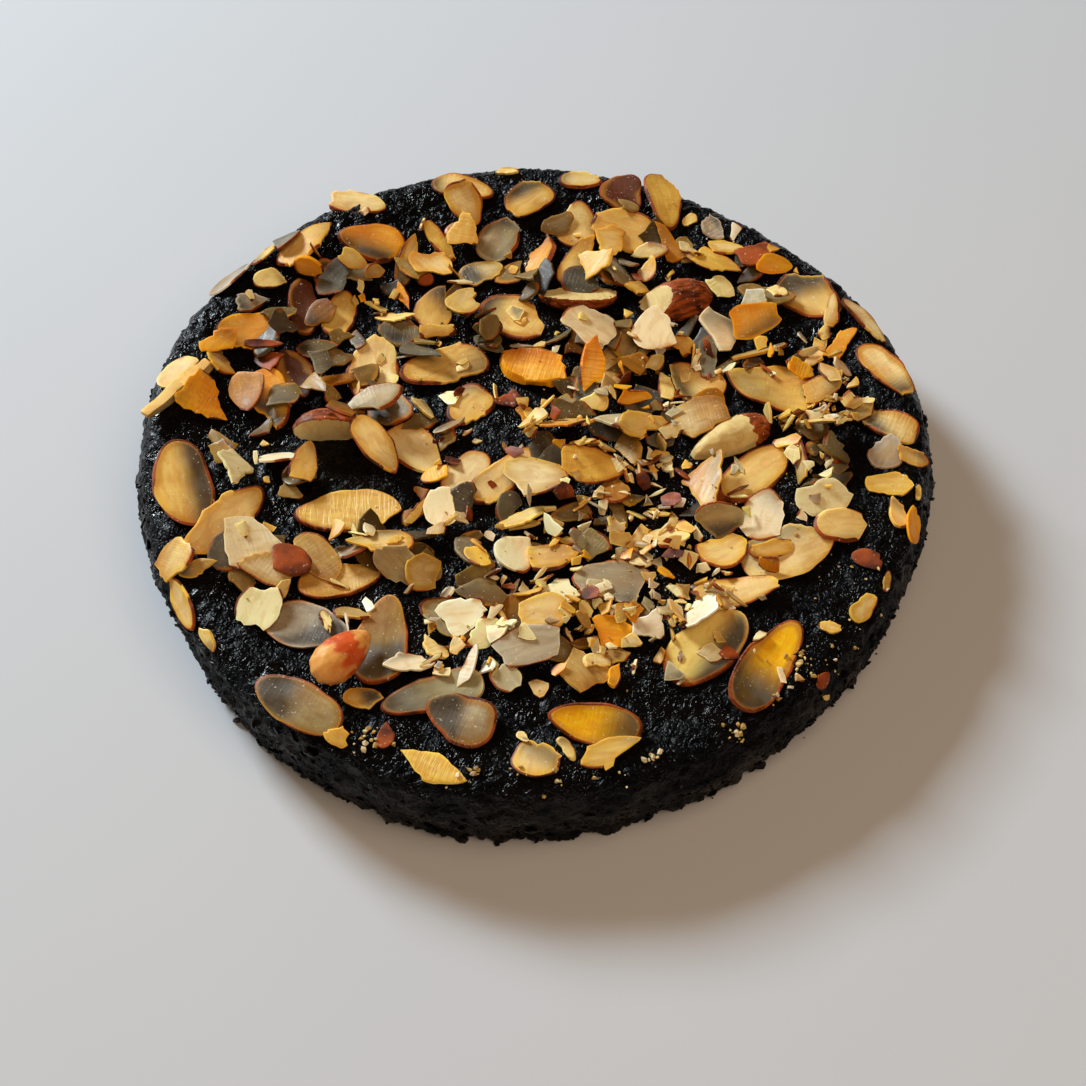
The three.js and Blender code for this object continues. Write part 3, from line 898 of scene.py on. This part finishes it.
def broken_slice(length, width, breaks):
    """An almond slice's outline, with its point at +X, less what lies past each straight break,
    which is (direction, share of the way out): its corners, and which sides are its own rim."""
    angle = np.linspace(0, 2 * np.pi, 60, endpoint=False)
    tip = 1 + 0.07 * np.maximum(np.cos(angle), 0) ** 8
    corners = np.stack([length / 2 * np.cos(angle) * tip,
                        width / 2 * np.sin(angle) * (1 - 0.18 * np.cos(angle))], axis=1)
    own = np.ones(len(corners))
    for direction, share in breaks:
        corners, own = snapped(corners, own, direction, share)
    return corners, own


# x, y, length, width, turn, tone, number of straight breaks
FLAKES = [
    (-66, 55, 7, 5, 45, "golden", 1), (-75, 47.2, 13, 8.5, 40, "grey", 0),
    (-65.4, 47.3, 8.5, 5, 25, "ivory", 1), (-68.4, 40.4, 8, 5, 35, "grey", 1),
    (-73.7, 28, 8, 6.5, 60, "orange", 2), (-85, 18.2, 11, 6, 50, "ivory", 1),
    (-76.5, 11.1, 11, 9, -20, "orange", 3), (-73.6, 21.5, 7.5, 4, 0, "golden", 2),
    (-63.8, 28, 11, 2.2, -10, "skin", 0), (-55.5, 51.1, 7.5, 5.5, -10, "orange", 0),
    (-44.4, 54.1, 7.5, 5.5, -25, "tan", 0), (-25.6, 56, 10, 8.5, -50, "golden", 2),
    (-18, 65.4, 7.5, 7, 80, "golden", 3), (-14, 55.3, 11, 8, 20, "tan", 0),
    (-6.6, 86.2, 6, 3.5, 0, "ivory", 1), (-34, 40.7, 9.5, 5, 20, "ivory", 2),
    (-32.7, 48.5, 8, 2.5, 110, "orange", 1), (-18, 41, 9, 8, 60, "tan", 1),
    (-22.2, 35.5, 8, 4, 10, "golden", 2), (-35, 9.8, 12, 7, 20, "grey", 1),
    (-25.5, 10.7, 8, 3.5, -55, "ivory", 1), (-20.9, 4.9, 7.5, 3.5, 20, "grey", 1),
    (11.6, 81.1, 10.5, 5, -4, "ivory", 1), (20, 61.7, 9, 7.5, 0, "golden", 3),
    (16.6, 54.2, 9, 8, 40, "golden", 2), (31.2, 59.4, 9, 4.5, -8, "ivory", 2),
    (39.2, 58.6, 6, 5, 0, "pale", 0), (45.3, 55.7, 12.5, 6.5, -25, "golden", 2),
    (49.3, 59.9, 9.5, 4.5, -10, "golden", 1), (57, 57, 10, 8, 20, "skin", 1),
    (60, 53.6, 9, 4.5, 0, "orange", 1), (72.3, 40.4, 11, 3.5, 80, "ivory", 1),
    (39, 70, 4, 3.5, 60, "ivory", 1), (44.6, 66, 7, 5, -60, "grey", 1),
    (25, 48.5, 8, 4, 45, "golden", 2), (28.5, 54, 6, 4, 70, "golden", 1),
    (46, 49, 7.5, 4.5, -50, "pale", 2),
    (60.2, 45, 5, 4, -30, "ivory", 1), (54, 42.5, 7.5, 5, -10, "grey", 1),
    (34.9, 31.5, 6, 5, 20, "golden", 2), (45.5, 31.8, 11.5, 10.5, 10, "pale", 3),
    (55, 28.6, 12, 5, 20, "tan", 2), (53.3, 36.6, 13, 7, 20, "orange", 2),
    (13, 34.2, 11, 10.5, -30, "pale", 3), (27.3, 31, 13, 10, 70, "pale", 1),
    (68, 28.5, 10, 3, 60, "ivory", 1), (75.5, 33, 9, 5, 45, "orange", 2),
    (73.4, 21, 6, 3.5, -20, "pale", 1), (68, 15.9, 11, 5, 20, "golden", 2),
    (77.5, 12, 5.5, 5, 0, "pale", 3), (64, 21.1, 6, 5, -20, "orange", 2),
    (37, 8.5, 13, 10, 10, "tan", 2), (20.6, 7.7, 13, 9, 35, "grey", 1),
    (15.8, 12.6, 5, 5.5, 80, "ivory", 2), (12.4, 20.7, 13, 5, 85, "orange", 2),
    (6, 5.2, 12, 6, 30, "golden", 2), (68.3, 2.7, 10, 7, -10, "ivory", 2),
    (61, -2.5, 15, 4, 88, "tan", 1), (31.3, 18.4, 10, 3.5, 95, "ivory", 1),
    (24.6, 1.9, 15, 7.5, 28, "golden", 2), (23.7, 12.8, 8, 3, 20, "orange", 2),
    (-66.6, -8.9, 8.5, 9, 5, "white", 4), (-59, -4.6, 11, 6, 25, "white", 1),
    (-51.9, -5.1, 14, 6.5, 82, "golden", 0), (-61.6, -30.3, 14.5, 10.5, 25, "white", 2),
    (-57.7, -36.2, 14, 7, -28, "tan", 1), (-54.5, -41, 6, 2.5, 70, "ivory", 1),
    (-73.4, -36.5, 8.5, 3.5, 10, "tan", 1), (-47.4, -30.6, 13, 7.5, -50, "tan", 1),
    (-52.7, -33, 10, 7, -20, "skin", 1), (-40, -30.3, 7.5, 4.5, 10, "grey", 1),
    (-30.2, -27.7, 14, 9.5, 190, "golden", 1), (-30.5, -34.8, 11, 6.5, -40, "grey", 2),
    (-24.8, -37.5, 9, 7.5, 0, "tan", 1), (-58.6, -45.6, 12, 8.5, 72, "white", 1),
    (-45, -47.5, 7, 2.5, -70, "ivory", 1), (-40.5, -45, 8, 4, -10, "tan", 1),
    (-36, -66.7, 8.5, 4, -8, "golden", 2), (-17.8, -85.4, 14, 6, -22, "golden", 2),
    (-40.8, -76.5, 6, 3.5, -30, "golden", 2), (-30.6, -76.5, 6.5, 3, 75, "skin", 1),
    (-75.1, -45.3, 14, 5.5, -66, "golden", 0), (-69.8, -53, 6.5, 2.7, -60, "ivory", 1),
    (-78.2, -32.7, 10, 8, 60, "golden", 3), (-15.3, -44.5, 10, 8, 10, "white", 3),
    (-11, -51, 9, 6, 20, "white", 3), (-25.2, -58, 9, 5, 20, "white", 3),
    (-20, -55.5, 6.5, 5, -50, "ivory", 2), (-13.3, -58.6, 10, 3, 70, "white", 1),
    (-8.5, -60.5, 6, 2, 85, "orange", 0), (-5.2, -62.5, 6.5, 5.5, -50, "grey", 1),
    (-4, -31.5, 11, 9.5, 70, "white", 0), (-1, -19, 9.5, 7, 35, "ivory", 2),
    (-26.5, -19, 8, 2, 50, "ivory", 1), (-21.6, -20.7, 9, 8, 100, "pale", 1),
    (-13, -33.5, 7, 4, -50, "golden", 2), (-23.6, -7.7, 7.5, 4, 15, "orange", 1),
    (2.7, -10.6, 15, 11, -20, "tan", 1), (15.2, -7, 15.5, 9, 8, "golden", 1),
    (40.6, -12.8, 12, 11, 60, "golden", 3), (51, -18.3, 12, 10, 75, "white", 1),
    (42, -20.6, 10, 8, 15, "grey", 1), (64.7, -16.4, 11, 9, 10, "pale", 2),
    (67.3, -22.5, 14, 8, 10, "ivory", 1), (43, -30, 12, 11, 30, "golden", 0),
    (28.4, -24.9, 11, 7, 15, "ivory", 2), (21.5, -27.3, 8, 7, 0, "grey", 3),
    (4.6, -31.3, 12, 7, 10, "golden", 1), (15.7, -34.5, 16, 12.5, 175, "grey", 1),
    (7.4, -40, 9, 8, 60, "white", 3), (4, -47.4, 10.5, 8, 8, "golden", 3),
    (17.7, -50.4, 10, 6, -8, "orange", 2), (26.7, -49.3, 8, 6, 30, "white", 3),
    (-1.3, -55, 16, 8, 15, "grey", 1), (11.2, -62.3, 12, 9, -60, "tan", 3),
    (14.3, -58, 5.5, 4.5, 0, "ivory", 2), (34.6, -48.8, 9.5, 9, 20, "white", 3),
    (52.1, -29.6, 11.5, 4, 12, "golden", 1), (-0.1, -81.9, 9, 9, 80, "golden", 1),
    (-2.2, -75.5, 3.5, 2, -50, "ivory", 0), (7.5, -78, 6, 3, -60, "ivory", 1),
    (15.6, -79, 13, 5.5, 12, "golden", 2), (17.5, -62, 6, 2.7, 80, "orange", 1),
    (80.5, -11.6, 9, 7, -10, "golden", 2), (81.5, -3.5, 9, 8.5, 60, "grey", 0),
    (88, -4, 7, 5, -10, "golden", 2), (87.5, -13, 4.5, 1.8, 80, "ivory", 0),
    (81.2, -20.2, 8, 4, 100, "golden", 1), (84.5, -23.5, 10, 3.5, 80, "orange", 1),
    (73.5, -31, 7, 4, -25, "skin", 1), (78, -36.5, 5, 2, 80, "tan", 0),
    (71.6, -44.9, 9, 4.5, 55, "golden", 1), (64, -48.9, 4.5, 3, -20, "golden", 1),
    (62, -61, 4, 3, 60, "skin", 0),
]

flake_disc = plate(28, [0.25, 0.52, 0.76, 0.92, 1.0])
shard_disc = plate(18, [0.35, 0.68, 0.9, 1.0])
chip_disc = plate(10, [0.75, 1.0])


def add_piece(pile, disc, x, y, size, turn, tone_name, breaks, thick, lean, sunk, shaded=1.0):
    """Breaks a piece off a slice, bends it, lays it on the heap and adds it to a pile."""
    corners, own = broken_slice(size[0] * MM, size[1] * MM, breaks)
    outline, own = stepped(corners - corners.mean(axis=0), own, disc["steps"])
    across = np.ptp(outline, axis=0).min() / MM
    outline = torn(outline, own, min(0.2, across * 0.026) * MM)
    bend = np.ptp(outline, axis=0).max() / 14
    shape, from_rim, whole = slice_shape(
        disc, outline, own, thick * MM, bow=random.uniform(-0.3, 0.7) * bend,
        twist=random.uniform(-0.4, 0.4) * bend, cup=random.uniform(-0.25, 0.3) * bend,
        slant=random.uniform(-0.3, 0.7),
    )
    local = shape.copy()
    shape = lay(shape, x * MM, y * MM, turn, lean, sunk * MM)
    cover(shape, disc["faces"])
    bare_skin = tone_name == "skin"
    if bare_skin:
        skin = 1.0
    else:
        skin = whole * skin_round(disc["step"], disc["steps"], random.uniform(0, 1))
    pile.add(
        shape,
        disc["faces"],
        painted(local, from_rim, tone_name, 0.14, shaded),
        local + random.uniform(-0.1, 0.1, 3),
        rim=0.0 if bare_skin else from_rim / MM,
        skin=skin,
        veil=see_through(
            local, THINNESS[tone_name] * random.uniform(0.6, 1.1), near_crust(shape), from_rim
        ),
        ridge=0.1 if bare_skin else random.choice([0.1, 0.4, 0.8], p=[0.6, 0.3, 0.1]),
        toast=whole * random.uniform(0.0, 1.0),
    )


def some_breaks(count, least=0.5, most=0.85):
    """Straight breaks in directions spread round a piece."""
    first = random.uniform(0, 2 * math.pi)
    return [
        (first + i * 2 * math.pi / count + random.uniform(-0.45, 0.45), random.uniform(least, most))
        for i in range(count)
    ]


# Places where the heap is thick: x, y, reach along X and Y, and how many more flakes lie there.
THICK = [(20, -18, 24, 26, 12), (16, -46, 30, 12, 6), (30, 34, 36, 34, 40), (-18, 40, 36, 30, 36),
         (66, 6, 10, 22, 10), (-40, -20, 32, 26, 16), (-8, -22, 20, 22, 8), (-52, 22, 26, 28, 24)]
# Places that these flakes keep clear of, because the crust or a large piece shows there.
BARE = [(-84, -14, 6, 20), (-62, -50, 14, 12), (72, -42, 18, 18), (75, -8, 6, 12), (0, -86, 60, 14),
        (-34, 82, 9, 8), (40, -74, 40, 12), (-47, 0, 13, 8), (33, 44, 14, 9), (0, 23, 11, 8),
        (46, 3, 12, 7), (-42, -18, 14, 7), (11, 44, 13, 6)]
REACH = 84  # mm from the middle; nothing is scattered beyond this

# The share of each tone, among the flakes that lie low and among the chips on top.
LOW_SHARE = {"ivory": 0.14, "golden": 0.26, "tan": 0.24, "orange": 0.17, "grey": 0.16, "skin": 0.03}
TOP_SHARE = {"white": 0.14, "pale": 0.2, "ivory": 0.2, "golden": 0.16,
             "tan": 0.1, "orange": 0.05, "grey": 0.13, "skin": 0.02}


def bare(x, y):
    return any(((x - cx) / rx) ** 2 + ((y - cy) / ry) ** 2 < 1 for cx, cy, rx, ry in BARE)


def covered(x, y):
    """How thick the almonds lie at a place, in mm."""
    here = cells(np.array([x * MM]), np.array([y * MM]))
    return (heap[here] - crust_top[here])[0] / MM


def any_tone(shares):
    """A tone drawn at random, each as often as its share says."""
    return str(random.choice(list(shares), p=list(shares.values())))


def spots(cx, cy, rx, ry, count, most_cover):
    """Random places round a middle, few of them on what already lies thick."""
    found = []
    tries = 0
    while len(found) < count and tries < 40 * count:
        tries += 1
        x, y = cx + rx * random.normal(0, 0.6), cy + ry * random.normal(0, 0.6)
        too_far = abs(x - cx) > 1.3 * rx or abs(y - cy) > 1.3 * ry
        if math.hypot(x, y) > REACH or bare(x, y) or too_far:
            continue
        if covered(x, y) > most_cover and random.random() < 0.94:
            continue
        found.append((x, y))
    return found


def any_lean(along, across):
    """How far a piece stands up about its length and its width, up to these angles in degrees."""
    return random.uniform(-along, along), random.uniform(-across, across)


LEAN_REACH = 76  # mm from the middle; further out flakes lie flat, so that none juts past the rim

flakes = Pile()
# Painted shade: the flakes that lie low, under the others, get a darker tone (shaded well below 1).
for cx, cy, rx, ry, count in THICK:
    for x, y in spots(cx, cy, rx, ry, count, 0.1):
        size = random.uniform(6.5, 12.5)
        add_piece(
            flakes, shard_disc, x, y, (size, size * random.uniform(0.5, 0.8)),
            random.uniform(0, 360), any_tone(LOW_SHARE),
            some_breaks(int(random.integers(1, 4)), 0.3, 0.85), thick=random.uniform(0.5, 0.9),
            lean=any_lean(25, 12), sunk=0.3, shaded=random.uniform(0.1, 0.58),
        )
for x, y, length, width, turn, tone_name, count in FLAKES:
    grown = 1.0 + 0.10 * count
    leans = random.random() < 0.65 and math.hypot(x, y) < LEAN_REACH
    lean = any_lean(32, 14) if leans else FLAT
    add_piece(
        flakes, flake_disc, x, y, (length * grown, width * grown), turn, tone_name,
        some_breaks(count) + some_breaks(1, 0.65, 0.9),
        thick=random.uniform(0.5, 0.85), lean=lean, sunk=0.2,
    )
flakes.piece("almond_flakes", almond_finish, "almond_ivory")

# ------------------------------------------------------------------ almond chips
# Angular chips under 7 mm that fell between the flakes, with thin sticks among them.

# Where they fell: x, y, reach along X and Y, and how many.
CHIPS = [(18, -16, 26, 28, 115), (14, -46, 34, 14, 100), (66, 4, 11, 24, 55), (30, 30, 34, 32, 40),
         (-20, 36, 40, 34, 24), (-40, -22, 34, 30, 18), (0, 0, 66, 66, 40)]

chips = Pile()
for cx, cy, rx, ry, count in CHIPS:
    for x, y in spots(cx, cy, rx, ry, count, 0.9):
        stick = random.random() < 0.25
        length = random.uniform(3, 7) if stick else random.uniform(2.4, 7.2)
        width = random.uniform(0.8, 1.4) if stick else length * random.uniform(0.5, 0.9)
        lean = any_lean(70, 25) if random.random() < 0.25 else FLAT
        if stick:
            breaks = some_breaks(int(random.integers(1, 3)))
        else:
            breaks = some_breaks(int(random.integers(2, 5)), 0.25, 0.8)
        add_piece(
            chips, chip_disc, x, y, (length, width), random.uniform(0, 360), any_tone(TOP_SHARE),
            breaks, thick=random.uniform(0.4, 0.8), lean=lean, sunk=0.15,
            shaded=random.uniform(0.85, 1.12),
        )
chips.piece("almond_chips", almond_finish, "almond_ivory")

# ------------------------------------------------------------------ flakes of skin
# Papery red-brown skin that came off the kernels, in curled scraps.

skins = Pile()
for cx, cy, rx, ry, count in [(14, -14, 30, 34, 15), (0, 0, 70, 70, 14)]:
    for x, y in spots(cx, cy, rx, ry, count, 2.5):
        length = random.uniform(2.0, 6.5)
        add_piece(
            skins, chip_disc, x, y, (length, length * random.uniform(0.3, 0.7)),
            random.uniform(0, 360), "skin", some_breaks(2),
            thick=0.3, lean=any_lean(40, 20), sunk=0.1,
        )
skins.piece("skin_scraps", almond_finish, "almond_skin")

# ------------------------------------------------------------------ crumbs
# Crumbs of almond and of baked cake: on the top between the flakes, and round the foot.

# Every crumb is a dented copy of one ball, which is one unit across before it is sized.
bpy.ops.object.select_all(action="DESELECT")
bpy.ops.mesh.primitive_ico_sphere_add(subdivisions=1, radius=0.5)
pattern = bpy.context.object
ball = arrays_of(pattern)[0]
ball_faces = [tuple(face.vertices) for face in pattern.data.polygons]
bpy.data.objects.remove(pattern)


def add_crumb(pile, x, y, size, tone, ground=None):
    """Drops a crumb at a place in mm: on the heap, or on the floor at this height."""
    crumb = ball * random.uniform(0.55, 1.25, (len(ball), 1)) * random.uniform(0.6, 1.2, 3)
    crumb = crumb * size * MM
    crumb = crumb @ turned("Z", random.uniform(0, ROUND)).T
    crumb = crumb @ turned("X", random.uniform(0, ROUND)).T
    place = np.array([x * MM, y * MM, 0.0])
    top = heap[cells(place[:1], place[1:2])][0] if ground is None else ground
    place[2] = top - crumb[:, 2].min() - 0.15 * size * MM * (ground is None)
    pile.add(crumb + place, ball_faces, tone, crumb, rim=2.0)


# Where almond crumbs lie: x, y, reach along X and Y, how many, and how large the largest is in mm.
CRUMBS = [(0, 0, 60, 60, 90, 0.7), (16, -22, 34, 34, 90, 0.8), (60, -57, 10, 6, 24, 1.5),
          (-34, -77, 5, 3, 16, 1.7), (12, -85, 46, 3, 34, 1.4), (70, -36, 12, 16, 20, 1.1),
          (-12, -84, 1.6, 1, 9, 1.6), (5, -85, 1.5, 1, 7, 1.5), (25, -80, 1.6, 1.3, 9, 1.6),
          (42, -73, 2, 1.6, 13, 1.7), (52, -66, 1.5, 1.3, 7, 1.4), (58, -58, 2, 2, 9, 1.5)]
TOP_REACH = 88.5  # mm from the middle to the edge of the top

almond_crumbs = Pile()
for cx, cy, rx, ry, count, largest in CRUMBS:
    for _ in range(count):
        x, y = cx + rx * random.normal(0, 0.6), cy + ry * random.normal(0, 0.6)
        if math.hypot(x, y) < TOP_REACH:
            tone = TONES[str(random.choice(["pale", "ivory", "tan"]))]
            add_crumb(almond_crumbs, x, y, random.uniform(0.3, largest), tone)
almond_crumbs.piece("almond_crumbs", almond_finish, "almond_ivory")

SIDE_CRUMBS, FLOOR_CRUMBS = 1500, 60
FOOT_REACH = 87.0  # mm from the middle to where crumbs lie on the floor

crust_crumbs = Pile()
for i in random.choice(len(side_places), SIDE_CRUMBS, replace=False):
    low = side_places[i][2] < 4 * MM
    size = random.uniform(0.9, 1.6 + (3.2 if low else 2.0) * random.random() ** 2) * MM
    crumb = ball * random.uniform(0.6, 1.2, (len(ball), 1)) * (1.2, 0.8, 0.45) * size
    crumb = crumb @ turned("X", random.uniform(-0.7, 0.7)).T
    crumb = crumb @ turned("Y", random.uniform(-0.7, 0.7)).T
    outward = Vector(side_normals[i]).to_track_quat("Z", "Y").to_matrix()
    crumb = crumb @ turned("Z", random.normal(0, 0.6)).T @ np.array(outward).T
    crumb = crumb + side_places[i] + side_normals[i] * size * random.uniform(-0.1, 0.12)
    crumb[:, 2] = np.maximum(crumb[:, 2], 0)
    crust_crumbs.add(crumb, ball_faces, (0, 0, 0), crumb)
for _ in range(FLOOR_CRUMBS):
    angle = random.uniform(0, 2 * math.pi)
    reach = FOOT_REACH + abs(random.normal(0, 1.2))
    x, y = reach * math.cos(angle), reach * math.sin(angle)
    add_crumb(crust_crumbs, x, y, random.uniform(0.4, 1.2), (0, 0, 0), ground=0.0)
crust_crumbs.piece("crust_crumbs", crust_finish, "crust")
